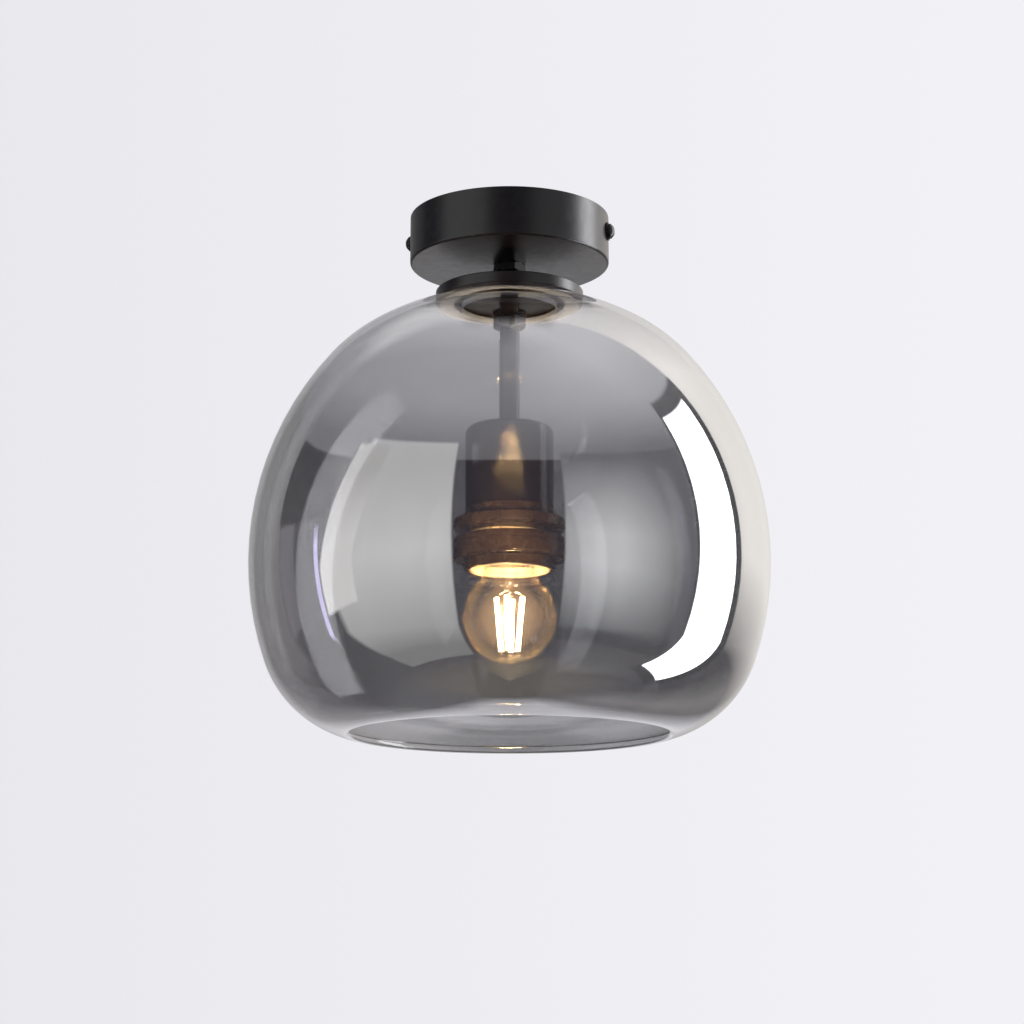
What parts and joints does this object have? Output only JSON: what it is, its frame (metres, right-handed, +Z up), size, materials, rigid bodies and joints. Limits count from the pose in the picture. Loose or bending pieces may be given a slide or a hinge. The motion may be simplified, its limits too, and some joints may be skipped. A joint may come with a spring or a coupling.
{
  "type": "semi flush ceiling light",
  "caption": "Semi flush ceiling light: open smoked glass bowl clamped under a disc on a short threaded stem, with a screw lampholder, a golf ball bulb and a round ceiling canopy.",
  "frame": {"origin": "centre of the ceiling strap's upper face, in the ceiling plane, on the stem's axis", "axes": "+Z up, into the ceiling; +X along the ceiling strap, towards one canopy screw; the light hangs to negative Z"},
  "size_m": [0.2499, 0.25, 0.2566],
  "materials": {
    "black_paint": "satin black powder coat",
    "zinc_steel": "zinc plated steel",
    "brass": "bare brass",
    "nickel": "nickel plated",
    "solder": "tin solder",
    "block_plastic": "white moulded plastic",
    "black_plastic": "black thermoset moulding",
    "ceramic": "glazed cream ceramic",
    "black_rubber": "soft silicone",
    "smoked_glass": "smoked blown glass with a mirror coat",
    "clear_glass": "clear thin blown glass",
    "mount_glass": "pressed clear glass",
    "black_glass": "black glass insulator",
    "phosphor": "yellow phosphor coat, lit",
    "brown_sleeve": "brown silicone sleeve",
    "blue_sleeve": "blue silicone sleeve",
    "green_sleeve": "green and yellow silicone sleeve"
  },
  "bodies": {
    "fixture": {"canopy": "black_paint", "canopy_lock_washer": "zinc_steel", "canopy_lower_nut": "black_paint", "canopy_screw_washers": "black_paint", "canopy_screws": "black_paint", "canopy_upper_nut": "zinc_steel", "cap_nut": "black_paint", "centre_contact": "brass", "clamp_bar": "black_paint", "clamp_nut": "black_paint", "clamp_pads": "black_rubber", "clamp_washer": "black_paint", "contact_link": "brass", "earth_lead": "green_sleeve", "earth_lug": "brass", "earth_screw": "zinc_steel", "glass_shade": "smoked_glass", "holder_entry": "zinc_steel", "holder_liner": "ceramic", "holder_screws": "zinc_steel", "lampholder_body": "black_plastic", "live_lead": "brown_sleeve", "mounting_bracket": "zinc_steel", "neutral_lead": "blue_sleeve", "screw_shell": "nickel", "shade_cap": "black_paint", "shade_gasket": "black_rubber", "shade_ring": "black_plastic", "socket_cover": "black_paint", "stem_tube": "black_paint", "terminal_barrels": "brass", "terminal_block": "block_plastic", "terminal_posts": "brass", "terminal_screws": "zinc_steel"},
    "bulb_glass": {"bulb_globe": "clear_glass"},
    "bulb_core": {"bulb_cap": "nickel", "bulb_insulator": "black_glass", "bulb_contact": "solder", "bulb_mount": "mount_glass", "bulb_filaments": "phosphor", "filament_wires": "nickel"}
  },
  "joints": [
    {"name": "bulb_travel", "type": "slide", "parent": "fixture", "child": "bulb_glass", "axis": [0, 0, -1], "range_m": [0, 0.02]},
    {"name": "bulb_turn", "type": "hinge", "parent": "bulb_glass", "child": "bulb_core", "pos_m": [0, 0, -0.16], "axis": [0, 0, -1], "range_deg": [0, 1980]}
  ],
  "couplings": [
    {"joint": "bulb_travel", "follows": "bulb_turn", "m_per_rad": 0.00057757}
  ]
}
